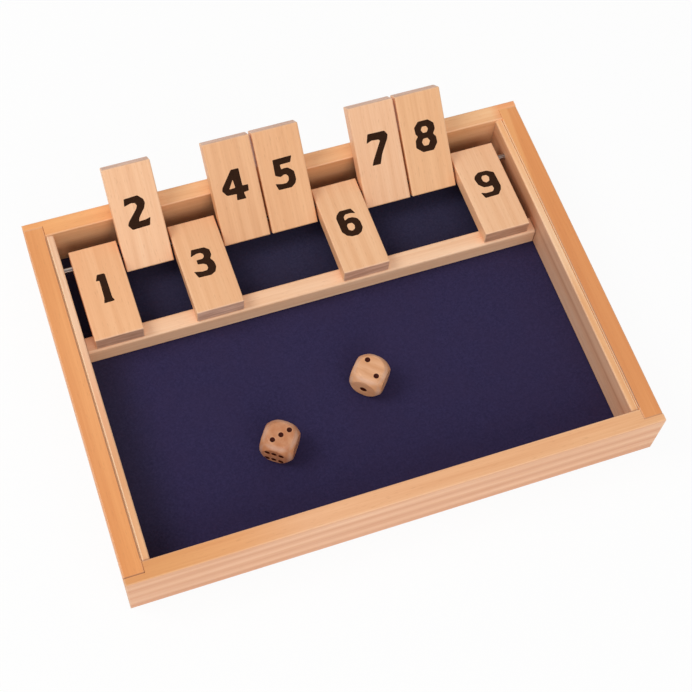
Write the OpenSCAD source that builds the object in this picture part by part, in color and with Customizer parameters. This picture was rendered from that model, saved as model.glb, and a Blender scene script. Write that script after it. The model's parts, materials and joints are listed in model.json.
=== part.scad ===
// A wooden shut the box game: a felt-lined tray with nine hinged number tiles and two dice.
// Millimetres, +Z up, the front rail towards -Y. The origin is on the table, in the middle
// of the footprint that the case and the tiles leaning over its back cover together.

/* [Case] */
// Outer width of the case, left to right
case_w = 285; // [230:1:340]
// Outer depth of the case, front to back
case_d = 210; // [180:1:260]
// Height of the case
case_h = 35.5; // [32:0.5:50]
// Thickness of the front rail and the back rail
long_rail_t = 10; // [7:0.5:14]
// Thickness of the left rail and the right rail
side_rail_t = 10.7; // [7:0.1:14]
// Wood left in front of a side rail's end in the corner rabbet
corner_lip = 3.8; // [2:0.1:5.5]
// Rounding along the long edges of the rails
rail_edge_r = 0.8; // [0.3:0.1:2]

/* [Base] */
// Thickness of the base panel
panel_t = 3; // [2:0.5:6]
// Height of the base panel's underside above the table
panel_up = 4; // [2:0.5:8]
// Depth of the groove that holds the base panel
groove_d = 4; // [2:0.5:5]
// Room left between the base panel's edge and the bottom of its groove
groove_slack = 0.2; // [0.1:0.1:1]
// Thickness of the felt sheet on the base panel
felt_t = 1.5; // [1:0.1:3]
// Gap between the felt's edge and the rails
felt_gap = 0.3; // [0.1:0.1:1]

/* [Strips and cross rail] */
// Thickness of the strip along each side rail
strip_t = 4.1; // [3:0.1:7]
// How far the top of a strip lies below the top of the case
strip_drop = 1; // [0.5:0.1:3]
// Rounding along the edges of a strip
strip_edge_r = 1; // [0.2:0.1:1.2]
// Depth of the bay under the tiles, from the cross rail to the back rail
bay_d = 57.2; // [46:0.1:62]
// Thickness of the cross rail, front to back
cross_t = 9.8; // [6:0.1:14]
// Height of the cross rail above the felt
cross_h = 12; // [8:0.5:15]
// Rounding along the edges of the cross rail
cross_edge_r = 1.5; // [0.3:0.1:2]

/* [Rod] */
// Diameter of the steel rod
rod_d = 3; // [2:0.1:4]
// Height of the rod's axis above the felt
rod_up = 15.6; // [13:0.1:18]
// Distance of the rod's axis from the back rail
rod_back = 17.4; // [15:0.1:24]
// Radial room between the rod and the holes in the strips
rod_seat_room = 0.03; // [0.01:0.01:0.1]
// Room between each end of the rod and the side rail behind it
rod_end_room = 0.3; // [0.1:0.1:1]

/* [Tiles] */
// Length of a tile
tile_l = 57; // [50:0.5:64]
// Thickness of a tile
tile_t = 9; // [6:0.1:11]
// Distance from a tile's lower end to the axis of its hole
tile_pivot = 8.25; // [5:0.05:10]
// Gap between two neighbouring tiles
tile_gap = 1.2; // [0.6:0.1:2]
// Room between each end of the row of tiles and the strip beside it
row_end_room = 5; // [2:0.5:12]
// Rounding of a tile's edges
tile_edge_r = 0.8; // [0.3:0.1:1.5]
// Radial room between the rod and the hole in a tile
bore_room = 0.08; // [0.03:0.01:0.1]
// Room between a tile and the rail edge that it comes to rest on
rest_room = 0.15; // [0.05:0.05:0.5]

/* [Dice] */
// Size of a die across its faces
die_s = 18; // [12:0.5:20]
// Rounding along the edges of a die
die_edge_r = 3; // [1:0.1:4]
// Diameter of the round flat that is left on each face of a die
die_flat_d = 13.2; // [11:0.1:20]
// Diameter of a pip
pip_d = 2.8; // [1.5:0.1:4]
// Depth of a pip
pip_depth = 0.8; // [0.3:0.1:1.2]
// Distance of an outer pip from the middle lines of its face
pip_step = 3.6; // [2.5:0.1:4.5]
// Room between a die and the felt
die_room = 0.05; // [0.02:0.01:0.2]
// Place of the left die, from the middle of the case to the right
die_left_x = -47; // [-90:0.1:-30]
// Place of the left die, from the front rail to the back
die_left_y = 46.2; // [20:0.1:100]
// Turn of the left die
die_left_turn = -36; // [-45:1:45]
// Place of the right die, from the middle of the case to the right
die_right_x = 9.8; // [-5:0.1:90]
// Place of the right die, from the front rail to the back
die_right_y = 67.9; // [20:0.1:100]
// Turn of the right die
die_right_turn = -42; // [-45:1:45]

/* [Hidden] */
$fn = 64;
// Small overlap that lets one cut run clean through a face
cut = 0.1;

// Inner faces of the rails, as distances from the middle of the case
inner_x = case_w / 2 - side_rail_t;
inner_y = case_d / 2 - long_rail_t;
// Levels of the base
panel_top = panel_up + panel_t;
felt_top = panel_top + felt_t;
// Inner faces of the strips, and the cross rail
strip_x = inner_x - strip_t;
cross_y = inner_y - bay_d - cross_t;
cross_top = felt_top + cross_h;
// The rod's axis, in the case's own coordinates
rod_y = inner_y - rod_back;
rod_z = felt_top + rod_up;
rod_r = rod_d / 2;
// The tiles share the width between the strips
TILES = 9;
tile_pitch = (2 * (strip_x - row_end_room) + tile_gap) / TILES;
tile_w = tile_pitch - tile_gap;
// The tiles that lie forward on the cross rail; the others stand and lean on the back rail
LYING = [1, 3, 6, 9];

// A tile rests when the rounded edge under it is half a tile's thickness from the line
// through its hole. The edge's centre is edge_y, edge_z away from the rod.
function rise(edge_y, edge_z, room) =
    asin(room / norm([edge_y, edge_z])) - atan2(edge_z, edge_y);
// A lying tile slopes up towards the front by this angle
lie_edge_y = rod_y - (cross_y + cross_t - cross_edge_r);
lie_edge_z = rod_z - (cross_top - cross_edge_r);
lie_angle = rise(lie_edge_y, lie_edge_z, tile_t / 2 + cross_edge_r + rest_room);
// A standing tile leans back from the upright by this angle
lean_edge_y = inner_y + rail_edge_r - rod_y;
lean_edge_z = case_h - rail_edge_r - rod_z;
lean_angle = 90 - atan2(lean_edge_z, lean_edge_y)
    - asin((tile_t / 2 + rail_edge_r + rest_room) / norm([lean_edge_y, lean_edge_z]));
// The whole turn of a tile, from lying to standing
tile_sweep = 90 - lie_angle + lean_angle;
echo(lie_angle = lie_angle, lean_angle = lean_angle, tile_sweep = tile_sweep);

// Reach of a standing tile behind the middle of the case, and the case's own place
lean_reach = rod_y + (tile_l - tile_pivot) * sin(lean_angle) + tile_t / 2 * cos(lean_angle);
case_y = -max(0, lean_reach - case_d / 2) / 2;
echo(case_y = case_y, rod = [case_y + rod_y, rod_z], cross_top = cross_top, felt_top = felt_top);

// A rectangle with round corners, centred
module round_rect(w, h, r) {
    square([w - 2 * r, h], center = true);
    square([w, h - 2 * r], center = true);
    for (x = [-1, 1], y = [-1, 1])
        translate([x * (w / 2 - r), y * (h / 2 - r)]) circle(r);
}

// A bar along X with rounded long edges, its middle at the origin
module bar_x(size, r) {
    rotate([90, 0, 90]) linear_extrude(size[0], center = true) round_rect(size[1], size[2], r);
}

// A bar along Y with rounded long edges, its middle at the origin
module bar_y(size, r) {
    rotate([90, 0, 0]) linear_extrude(size[1], center = true) round_rect(size[0], size[2], r);
}

// A bar along Z with rounded long edges, its middle at the origin
module bar_z(size, r) {
    linear_extrude(size[2], center = true) round_rect(size[0], size[1], r);
}

// A block with all its edges rounded
module eased_block(size, r) {
    intersection() {
        bar_x(size, r);
        bar_y(size, r);
        bar_z(size, r);
    }
}

// Places the case and all that is in it
module in_case() {
    translate([0, case_y, 0]) children();
}

// One long rail, its outer face towards the side that dir gives: -1 front, 1 back
module long_rail(dir) {
    in_case() difference() {
        translate([0, dir * (case_d - long_rail_t) / 2, case_h / 2])
            bar_x([case_w, long_rail_t, case_h], rail_edge_r);
        // rabbets that take the ends of the side rails
        for (x = [-1, 1])
            translate([x * (inner_x + case_w / 2 + cut) / 2, dir * (inner_y - cut + case_d / 2 - corner_lip) / 2,
                case_h / 2])
                cube([case_w / 2 + cut - inner_x, case_d / 2 - corner_lip - inner_y + cut, case_h + 2 * cut],
                    center = true);
        // groove for the base panel
        translate([0, dir * (inner_y - cut + inner_y + groove_d) / 2, panel_up + panel_t / 2])
            cube([2 * inner_x + 2 * cut, groove_d + cut, panel_t], center = true);
    }
}

// One side rail, its outer face towards the side that dir gives: -1 left, 1 right
module side_rail(dir) {
    in_case() difference() {
        translate([dir * (inner_x + side_rail_t / 2), 0, case_h / 2])
            bar_y([side_rail_t, case_d - 2 * corner_lip, case_h], rail_edge_r);
        // groove for the base panel
        translate([dir * (inner_x - cut + groove_d) / 2 + dir * inner_x / 2, 0, panel_up + panel_t / 2])
            cube([groove_d + cut, case_d, panel_t], center = true);
    }
}

module front_rail() {
    color("#e9b384") long_rail(-1);
}

module back_rail() {
    color("#ecb27d") long_rail(1);
}

module left_rail() {
    color("#eaa265") side_rail(-1);
}

module right_rail() {
    color("#e99c60") side_rail(1);
}

module base_panel() {
    reach = groove_d - groove_slack;
    color("#d9b288") in_case()
        translate([0, 0, panel_up + panel_t / 2])
            cube([2 * (inner_x + reach), 2 * (inner_y + reach), panel_t], center = true);
}

module felt() {
    color("#332a4a") in_case()
        translate([0, 0, panel_top + felt_t / 2])
            cube([2 * (inner_x - felt_gap), 2 * (inner_y - felt_gap), felt_t], center = true);
}

// A strip along the inside of a side rail, drilled through for the rod
module side_strip(dir) {
    strip_h = case_h - strip_drop - felt_top;
    in_case() difference() {
        translate([dir * (strip_x + strip_t / 2), 0, felt_top + strip_h / 2])
            bar_y([strip_t, 2 * inner_y, strip_h], strip_edge_r);
        translate([dir * (strip_x + strip_t / 2), rod_y, rod_z])
            rotate([0, 90, 0]) cylinder(h = strip_t + 2 * cut, r = rod_r + rod_seat_room, center = true);
    }
}

module left_strip() {
    color("#f4c896") side_strip(-1);
}

module right_strip() {
    color("#e6b380") side_strip(1);
}

module cross_rail() {
    color("#f0c49c") in_case()
        translate([0, cross_y + cross_t / 2, felt_top + cross_h / 2])
            bar_x([2 * strip_x, cross_t, cross_h], cross_edge_r);
}

module axle_rod() {
    color("#c8c8cc") in_case()
        translate([0, rod_y, rod_z])
            rotate([0, 90, 0]) cylinder(h = 2 * (inner_x - rod_end_room), r = rod_r, center = true);
}

// A tile on the rod. It is drawn lying level towards the front, with its hole at the origin.
module tile_blank() {
    difference() {
        translate([0, tile_pivot - tile_l / 2, 0])
            eased_block([tile_w, tile_l, tile_t], tile_edge_r);
        rotate([0, 90, 0]) cylinder(h = tile_w + 2 * cut, r = rod_r + bore_room, center = true);
    }
}

// Tile number n at its place, lying on the cross rail or leaning on the back rail
module tile(n) {
    turn = len(search(n, LYING)) > 0 ? -lie_angle : -(90 + lean_angle);
    color("#efc091") in_case()
        translate([(n - (TILES + 1) / 2) * tile_pitch, rod_y, rod_z]) rotate([turn, 0, 0]) tile_blank();
}

module tile_1() { tile(1); }
module tile_2() { tile(2); }
module tile_3() { tile(3); }
module tile_4() { tile(4); }
module tile_5() { tile(5); }
module tile_6() { tile(6); }
module tile_7() { tile(7); }
module tile_8() { tile(8); }
module tile_9() { tile(9); }

// Where the pips of each number sit on their face, in pip steps
PIPS = [
    [],
    [[0, 0]],
    [[1, -1], [-1, 1]],
    [[-1, -1], [0, 0], [1, 1]],
    [[-1, -1], [-1, 1], [1, -1], [1, 1]],
    [[-1, -1], [-1, 1], [0, 0], [1, -1], [1, 1]],
    [[-1, -1], [-1, 0], [-1, 1], [1, -1], [1, 0], [1, 1]]
];

// The dimples of one number, for a face whose outward side is +Z
module pips(n) {
    ball_r = (pip_d * pip_d / 4 + pip_depth * pip_depth) / (2 * pip_depth);
    for (p = PIPS[n])
        translate([p[0] * pip_step, p[1] * pip_step, die_s / 2 + ball_r - pip_depth]) sphere(ball_r);
}

// A die with 1 on top, 2 in front and 3 on the right; opposite faces add up to 7.
// A ball through the rims of its flats rounds off the corners.
module die() {
    difference() {
        intersection() {
            eased_block([die_s, die_s, die_s], die_edge_r);
            sphere(norm([die_s, die_flat_d]) / 2);
        }
        pips(1);
        rotate([90, 0, 0]) pips(2);
        rotate([90, 0, 90]) pips(3);
        rotate([90, 0, -90]) pips(4);
        rotate([90, 0, 180]) pips(5);
        rotate([180, 0, 0]) pips(6);
    }
}

// A die in the tray, rolled to show other faces and then turned
module placed_die(x, y, turn, roll) {
    color("#d9a06c") in_case()
        translate([x, -inner_y + y, felt_top + die_room + die_s / 2])
            rotate([0, 0, turn]) rotate(roll) die();
}

// Shows 3 on top and 6 in front
module die_left() {
    placed_die(die_left_x, die_left_y, die_left_turn, [0, -90, -90]);
}

// Shows 2 on top and 1 in front
module die_right() {
    placed_die(die_right_x, die_right_y, die_right_turn, [-90, 0, 180]);
}

front_rail();
back_rail();
left_rail();
right_rail();
base_panel();
felt();
left_strip();
right_strip();
cross_rail();
axle_rod();
tile_1();
tile_2();
tile_3();
tile_4();
tile_5();
tile_6();
tile_7();
tile_8();
tile_9();
die_left();
die_right();
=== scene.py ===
# %% [markdown]
# A wooden shut the box game: a shallow tray with a felt floor, nine number tiles on a steel
# rod, and two dice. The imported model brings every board, tile and die at its place, and
# that frame stays as it is. This lesson gives each piece its wood or steel, lays a real
# felt sheet, prints the numbers and makes soft, tumbled dice. All lengths are in metres.

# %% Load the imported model
import json
import math

import bpy
from mathutils import Euler, Matrix, Vector


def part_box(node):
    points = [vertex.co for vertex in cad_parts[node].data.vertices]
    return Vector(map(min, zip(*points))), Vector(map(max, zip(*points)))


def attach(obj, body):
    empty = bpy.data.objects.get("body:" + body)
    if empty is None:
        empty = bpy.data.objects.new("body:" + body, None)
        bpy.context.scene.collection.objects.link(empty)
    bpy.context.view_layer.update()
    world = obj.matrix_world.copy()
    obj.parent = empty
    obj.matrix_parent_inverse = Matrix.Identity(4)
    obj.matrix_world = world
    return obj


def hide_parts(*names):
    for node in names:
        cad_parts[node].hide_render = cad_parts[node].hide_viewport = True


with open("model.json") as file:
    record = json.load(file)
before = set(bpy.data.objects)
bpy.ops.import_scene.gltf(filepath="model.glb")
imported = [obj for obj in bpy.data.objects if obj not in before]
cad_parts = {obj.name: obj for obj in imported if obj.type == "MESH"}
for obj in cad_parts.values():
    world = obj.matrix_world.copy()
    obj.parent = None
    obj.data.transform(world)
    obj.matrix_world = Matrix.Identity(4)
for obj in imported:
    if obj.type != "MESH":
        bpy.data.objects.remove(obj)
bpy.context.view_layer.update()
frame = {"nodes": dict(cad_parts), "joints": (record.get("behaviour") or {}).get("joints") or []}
nodes = frame["nodes"]
MM = 0.001

# %% [markdown]
# Everything new is measured from the boards that are there already, so nothing has to be
# typed twice. A board's box gives its middle and its half sizes. A tile is turned on the
# rod, so its own axes are read from its largest flat face and from where its hinge is.

# %% Measure the boards and the tiles
X_AXIS = Vector((1, 0, 0))
TILE_NUMBERS = range(1, 10)
hinge_at = {j["child"]: Vector(j["pos_m"]) for j in frame["joints"] if j["type"] == "hinge"}


def middle_and_half(node_name):
    """The middle of a node's box and its half sizes."""
    low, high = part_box(node_name)
    return (low + high) / 2, (high - low) / 2


def tile_axes(number):
    """A tile's own axes: X across, Y from its free end to its hinge end, Z up when it lies."""
    mesh = nodes[f"tile_{number}"].data
    hinge = hinge_at[f"tile_{number}_body"]
    broad = max(mesh.polygons, key=lambda face: face.area).normal
    along = broad.cross(X_AXIS).normalized()
    centre = sum((v.co for v in mesh.vertices), Vector()) / len(mesh.vertices)
    if along.dot(centre - hinge) > 0:
        along = -along
    upward = X_AXIS.cross(along)
    axes = Matrix((X_AXIS, along, upward)).transposed().to_4x4()
    axes.translation = hinge
    return axes


def tile_reach(number, axis):
    """The lowest and highest reach of a tile along one of its own axes, from its hinge."""
    to_tile = tile_axes(number).inverted()
    reach = [(to_tile @ v.co)[axis] for v in nodes[f"tile_{number}"].data.vertices]
    return min(reach), max(reach)


TILE_HALF_WIDTH = tile_reach(1, 0)[1]
TILE_FREE_END, TILE_HINGE_END = tile_reach(1, 1)
TILE_HALF_THICKNESS = tile_reach(1, 2)[1]
TILE_LENGTH = TILE_HINGE_END - TILE_FREE_END
print(f"a tile is {TILE_LENGTH / MM:.2f} mm long, {2 * TILE_HALF_WIDTH / MM:.2f} mm wide "
      f"and {2 * TILE_HALF_THICKNESS / MM:.2f} mm thick")

# %% [markdown]
# The camera looks down on the table from the front left with a long lens, and it is rolled
# a little to the right. Aiming it by a turn, a tilt and a roll keeps each of those numbers
# readable, where a ready-made matrix would hide them.

# %% Camera
AIM = Vector((0.00735, -0.00387, 0))
DISTANCE = 0.8002
TURN = math.radians(25.353)
TILT = math.radians(-62.753)
ROLL = math.radians(7.000)
LENS_MM = 76.265
SENSOR_MM = 36

forward = Vector((math.sin(TURN) * math.cos(TILT), math.cos(TURN) * math.cos(TILT), math.sin(TILT)))
level_view = forward.to_track_quat("-Z", "Y")
camera_data = bpy.data.cameras.new("camera")
camera_data.lens = LENS_MM
camera_data.sensor_width = SENSOR_MM
camera = bpy.data.objects.new("camera", camera_data)
bpy.context.scene.collection.objects.link(camera)
camera.rotation_mode = "QUATERNION"
camera.location = AIM - forward * DISTANCE
camera.rotation_quaternion = level_view @ Matrix.Rotation(ROLL, 3, "Z").to_quaternion()
bpy.context.scene.camera = camera
bpy.context.scene.view_settings.view_transform = "Standard"
print("camera at", [round(v, 4) for v in camera.location])

# %% [markdown]
# Every material and light is built from nodes. They could be clicked together in the shader
# editor, but one small function that adds a node with its settings and links makes the same
# tree readable as text. Colours are written as the hex values that a colour picker shows,
# and turned to the linear values that the nodes reckon with.

# %% Colours and nodes
WHITE = (1, 1, 1, 1)


def linear(hex_colour):
    """An sRGB hex colour as linear RGBA."""
    channels = [int(hex_colour[i:i + 2], 16) / 255 for i in (1, 3, 5)]
    return tuple(c / 12.92 if c <= 0.04045 else ((c + 0.055) / 1.055) ** 2.4 for c in channels) + (1,)


def add_node(tree, kind, inputs=(), out=None, **settings):
    """Adds a node and gives the output that out names, or else the first one in use. The
    inputs go by name, or in the node's own order. Each is a value or the socket that feeds it."""
    node = tree.nodes.new("ShaderNode" + kind)
    for name, value in settings.items():
        setattr(node, name, value)
    sockets = [socket for socket in node.inputs if socket.enabled]
    if isinstance(inputs, dict):
        sockets = [node.inputs[name] for name in inputs]
        inputs = inputs.values()
    for socket, value in zip(sockets, inputs):
        if isinstance(value, bpy.types.NodeSocket):
            tree.links.new(value, socket)
        else:
            socket.default_value = value
    if out:
        return node.outputs[out]
    return next((socket for socket in node.outputs if socket.enabled), None)


print("half grey #808080 is", round(linear("#808080")[0], 3), "of white in linear light")

# %% [markdown]
# The light is that of a white light tent: an even white world, a soft lamp on the left that
# lays short shadows to the right, and a wide, weaker lamp in front. Their levels add up to
# a little under 1 on a level surface, so a colour comes out about as it is written.

# %% Lights
def seen_rays(tree):
    """1 for rays that carry the background itself: camera, mirror and glass rays."""
    rays = add_node(tree, "LightPath").node.outputs
    seen = add_node(tree, "Math", (rays["Is Camera Ray"], rays["Is Glossy Ray"]), operation="MAXIMUM")
    return add_node(tree, "Math", (seen, rays["Is Transmission Ray"]), operation="MAXIMUM")


def soft_lamp(name, place, size, level):
    """A square area lamp aimed at the game. Level is what it adds on a level white surface."""
    place = Vector(place)
    data = bpy.data.lights.new(name, "AREA")
    data.size = size
    steepness = place.z / place.length
    data.energy = level * math.pi ** 2 * place.length_squared / steepness
    lamp = bpy.data.objects.new(name, data)
    lamp.location = place
    lamp.rotation_mode = "QUATERNION"
    lamp.rotation_quaternion = (-place).to_track_quat("-Z", "Y")
    bpy.context.scene.collection.objects.link(lamp)
    print(f"{name}: {data.energy:.1f} W")


WORLD_LEVEL = 0.5
world = bpy.data.worlds.new("white_tent")
world.use_nodes = True
bpy.context.scene.world = world
tree = world.node_tree
tree.nodes.clear()
lit = add_node(tree, "Background", {"Color": WHITE, "Strength": WORLD_LEVEL})
shown = add_node(tree, "Background", {"Color": WHITE, "Strength": 1})
tent = add_node(tree, "MixShader", (seen_rays(tree), lit, shown))
add_node(tree, "OutputWorld", {"Surface": tent})

soft_lamp("left_lamp", place=(-0.86, 0.25, 1.12), size=0.65, level=0.25)
soft_lamp("front_lamp", place=(0.10, -1.40, 1.00), size=1.20, level=0.17)

# %% [markdown]
# The table is a plain white sheet. Seen by the camera it is lifted most of the way to pure
# white, and the rest is its real light, so the soft shadow round the tray stays.

# %% Table
def new_material(name):
    """An empty node material, and the tree that draws it."""
    material = bpy.data.materials.new(name)
    material.use_nodes = True
    material.node_tree.nodes.clear()
    return material, material.node_tree


def deselect_all():
    """Nothing selected, so that the next operator touches only its own piece."""
    bpy.ops.object.select_all(action="DESELECT")


TABLE_SIZE = 8
TABLE_DROP = 0.2 * MM
TABLE_LIFT = 0.93
deselect_all()
bpy.ops.mesh.primitive_plane_add(size=TABLE_SIZE, location=(0, 0, -TABLE_DROP))
table = bpy.context.object
table.name = "table"
table_paper, tree = new_material("white_paper")
paper = add_node(tree, "BsdfDiffuse", {"Color": linear("#F4F4F3")})
glow = add_node(tree, "Emission", {"Color": WHITE, "Strength": 1})
lift = add_node(tree, "Math", (seen_rays(tree), TABLE_LIFT), operation="MULTIPLY")
lifted_paper = add_node(tree, "MixShader", (lift, paper, glow))
add_node(tree, "OutputMaterial", {"Surface": lifted_paper})
table.data.materials.append(table_paper)
print("table:", TABLE_SIZE, "m wide")

# %% [markdown]
# The boards are a light, fine hardwood such as beech or schima under a satin clear lacquer.
# Real wood is solid colour all the way through, so its pattern is drawn in space and the
# faces cut it. Each board gets its own axes, with X along the grain, so that the rings run
# along its length and show as arcs on its ends. An image of wood would be easier, but it
# would wrap the same face round every edge.

# %% Board axes and colour ramps
def board_axes(centre, grain):
    """Axes at a board's middle with X along the grain."""
    turn = Matrix.Rotation(math.pi / 2, 4, "Z") if grain == "Y" else Matrix.Identity(4)
    return Matrix.Translation(centre) @ turn


def fill_ramp(colour_ramp, stops):
    """Gives a colour ramp its stops. Each is a place with a hex colour or a share of white."""
    tones = [linear(tone) if isinstance(tone, str) else (tone, tone, tone, 1) for place, tone in stops]
    places = [place for place, tone in stops]
    for element, stop in zip(colour_ramp.elements, (0, -1)):
        element.position = places[stop]
        element.color = tones[stop]
    for place, tone in zip(places[1:-1], tones[1:-1]):
        colour_ramp.elements.new(place).color = tone


# %% [markdown]
# Growth rings run round a pith that lies outside the board. A ring is light early wood that
# darkens into late wood and then starts again, so it is a saw-toothed wave seen through a
# ramp. Streaks, clouds and fine fibres are noise that is drawn out along the grain, and the
# short dark pores are vessels that the saw opened. Real fibres and pores are finer than a
# tenth of a millimetre, so both are drawn as coarse as they need to show. Every board has
# its own seed, which is its place in the tree.

# %% Rings, streaks, fibres and pores
WAVE_PERIOD = math.pi / 10  # the wave texture repeats after this length at scale 1
NOISE_RANGE = (0.3, 0.7)  # nearly all of a noise lies between these
RING_STRETCH = 0.05
SEED_STEP = 0.31
SOFT_RINGS = ((0.05, 0.0), (0.60, 1.0), (1.0, 0.0))
CRISP_RINGS = ((0.72, 0.0), (0.88, 1.0), (1.0, 0.0))
# how far each is drawn out, how wide it is across the grain, and how finely it is broken up
FIGURE = {"fibres": (0.02, 0.8 * MM, 3.0), "streaks": (0.03, 3.5 * MM, 2.0),
          "clouds": (0.35, 40 * MM, 1.0), "pores": (0.14, 0.6 * MM, 1.0)}
FIGURE_DEPTHS = {"fibres": 0.06, "streaks": 0.08, "clouds": 0.06}
PORE_TONE = "#B4703C"


def sawn_wood(tree, board, early, late, seed, ring_width=9 * MM, pith=(70 * MM, 50 * MM),
              ring_share=0.6, rings_seen=SOFT_RINGS, wobble=3.0, figure=1.0, pore_share=0.2):
    """The colour of sawn wood in board coordinates, with its fibres and its pores. early and
    late are the two tones of a growth ring, and pith is how far off the rings' middle lies."""
    rings_at = add_node(tree, "Mapping", {"Vector": board, "Location": (seed * SEED_STEP, *pith),
                                          "Scale": (RING_STRETCH, 1, 1)})
    rings = add_node(tree, "TexWave", {"Vector": rings_at, "Scale": WAVE_PERIOD / ring_width,
                                       "Distortion": wobble, "Detail": 2.0, "Detail Scale": 0.6,
                                       "Detail Roughness": 0.45},
                     out="Fac", wave_type="RINGS", rings_direction="X", wave_profile="SAW")
    ring_tone = add_node(tree, "ValToRGB", [rings])
    fill_ramp(ring_tone.node.color_ramp, rings_seen)
    ring_depth = add_node(tree, "Math", (ring_tone, ring_share), operation="MULTIPLY")
    colour = add_node(tree, "Mix", (ring_depth, linear(early), linear(late)), data_type="RGBA")

    noises = {}
    for order, (name, (stretch, width, detail)) in enumerate(FIGURE.items(), start=1):
        drawn_out = add_node(tree, "Mapping", {"Vector": board, "Location": (seed + order, *pith),
                                               "Scale": (stretch, 1, 1)})
        noises[name] = add_node(tree, "TexNoise", {"Vector": drawn_out, "Scale": 1 / width,
                                                   "Detail": detail}, out="Fac")
    for name, depth in FIGURE_DEPTHS.items():
        depth *= figure
        deeper = (1 - 0.5 * depth, 1 - depth, 1 - 1.5 * depth, 1)
        paler = (1 + 0.5 * depth, 1 + depth, 1 + 1.5 * depth, 1)
        share = add_node(tree, "MapRange", (noises[name], *NOISE_RANGE))
        tint = add_node(tree, "Mix", (share, deeper, paler), data_type="RGBA")
        colour = add_node(tree, "Mix", (1.0, colour, tint), data_type="RGBA", blend_type="MULTIPLY")
    pores = add_node(tree, "MapRange", (noises["pores"], 0.64, 0.76))
    pore_depth = add_node(tree, "Math", (pores, pore_share), operation="MULTIPLY")
    colour = add_node(tree, "Mix", (pore_depth, colour, linear(PORE_TONE)), data_type="RGBA")
    return colour, noises["fibres"], pores


print("wave scale for rings of 10 mm:", round(WAVE_PERIOD / (10 * MM), 1))

# %% [markdown]
# A sawn end drinks more lacquer than a face, so it has a tone of its own, and the layers of
# the tree lie across it as faint bars.

# %% Sawn ends
END_LAYER = 1.3 * MM
LAYER_STRETCH = 0.08
LAYER_TONE = "#DFD2CA"
END_SHARE = 0.8


def sawn_ends(tree, board, end_facing, colour, seed, end_tone):
    """Lays the tone of the sawn ends over a board's colour."""
    layers_at = add_node(tree, "Mapping", {"Vector": board, "Location": (seed, 0, 0),
                                           "Scale": (1, LAYER_STRETCH, 1)})
    layers = add_node(tree, "TexNoise", {"Vector": layers_at, "Scale": 1 / END_LAYER, "Detail": 2.0},
                      out="Fac")
    layer_share = add_node(tree, "MapRange", (layers, 0.35, 0.65))
    layer_tint = add_node(tree, "Mix", (layer_share, linear(LAYER_TONE), WHITE), data_type="RGBA")
    end_colour = add_node(tree, "Mix", (END_SHARE, colour, linear(end_tone)), data_type="RGBA")
    end_colour = add_node(tree, "Mix", (1.0, end_colour, layer_tint), data_type="RGBA",
                          blend_type="MULTIPLY")
    turned_out = add_node(tree, "Math", [end_facing], operation="ABSOLUTE")
    end = add_node(tree, "MapRange", (turned_out, 0.6, 0.95))
    return add_node(tree, "Mix", (end, colour, end_colour), data_type="RGBA")


# %% [markdown]
# Rounded edges are painted lighter, partly as the wear of sandpaper and hands and partly as a
# painted highlight on the rounding, and dark wax stays in a glued joint. Both are found from
# how far a spot is from the board's own ends and sides, so they follow the board whatever its
# size.

# %% Lighter edges, partly painted highlight, and glued ends
EDGE_WIDTH = 0.9 * MM
EDGE_WEAR_AND_HIGHLIGHT_TONE = "#FADCBC"
EDGE_WEAR_AND_HIGHLIGHT_SHARE = 0.3
JOINT_WIDTH = 0.9 * MM
JOINT_WAX_AND_SEAM_SHADE = "#8A4416"


def worn_and_highlit_edges(tree, at, half, colour):
    """Lightens a board's colour where two of its faces meet, as wear and as a painted highlight."""
    near = []
    for axis in range(3):
        away = add_node(tree, "Math", [at[axis]], operation="ABSOLUTE")
        near.append(add_node(tree, "MapRange", (away, half[axis] - EDGE_WIDTH, half[axis])))
    edge = add_node(tree, "Math", (near[0], near[1]), operation="ADD")
    edge = add_node(tree, "Math", (edge, near[2]), operation="ADD")
    # Wear and painted highlight: the rounded edges are lightened.
    edge_wear_and_highlight = add_node(tree, "MapRange", (edge, 0.9, 1.7, 0, EDGE_WEAR_AND_HIGHLIGHT_SHARE))
    return add_node(tree, "Mix", (edge_wear_and_highlight, colour, linear(EDGE_WEAR_AND_HIGHLIGHT_TONE)), data_type="RGBA")


def glued_ends(tree, at, half, colour, joints):
    """Lays dark wax on a board's two ends. joints is how dark each of them shows."""
    for share, side in zip(joints, (-1, 1)):
        if share:
            to_end = add_node(tree, "Math", (at[0], side), operation="MULTIPLY")
            wax_start = half[0] - JOINT_WIDTH
            dark_line = add_node(tree, "MapRange", (to_end, wax_start, half[0] - JOINT_WIDTH / 3, 0, share))
            colour = add_node(tree, "Mix", (dark_line, colour, linear(JOINT_WAX_AND_SEAM_SHADE)), data_type="RGBA")
    return colour


# %% [markdown]
# The two inner strips lean against the side rails and end a little lower. A strip's upper
# edge beside the rail is paler, and the rail's own face above it is painted pale as painted
# light. A fine dark line of painted shade runs in the seam between them, from one rabbet to
# the other. The right rail was sawn near the bark, so a wedge of paler sapwood widens
# towards the back.

# %% The seam between a rail and its strip
PALE_TONE = "#FFE4BE"
PALE_START = 1.2 * MM
PALE_END = 0.4 * MM
PALE_SHARE = 0.8
PAINTED_LIGHT_SHARE = 0.7
SEAM_FOOT = 1.6 * MM
SEAM_TOP = 1.2 * MM
SEAM_FADE = 1.8 * MM
SEAM_BAND = 1.0 * MM
SEAM_LINE = ((0.25, 0.0), (0.5, 1.0), (0.75, 1.0), (0.95, 0.0))
RABBET_DEPTH = 6.2 * MM
SAP_START = 35 * MM
SAP_END = 97 * MM
SAP_WIDTH = 5.5 * MM
SAP_BLUR = 1.2 * MM
SAP_SHARE = 0.8
SAP_TONE = "#F8B06E"


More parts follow.
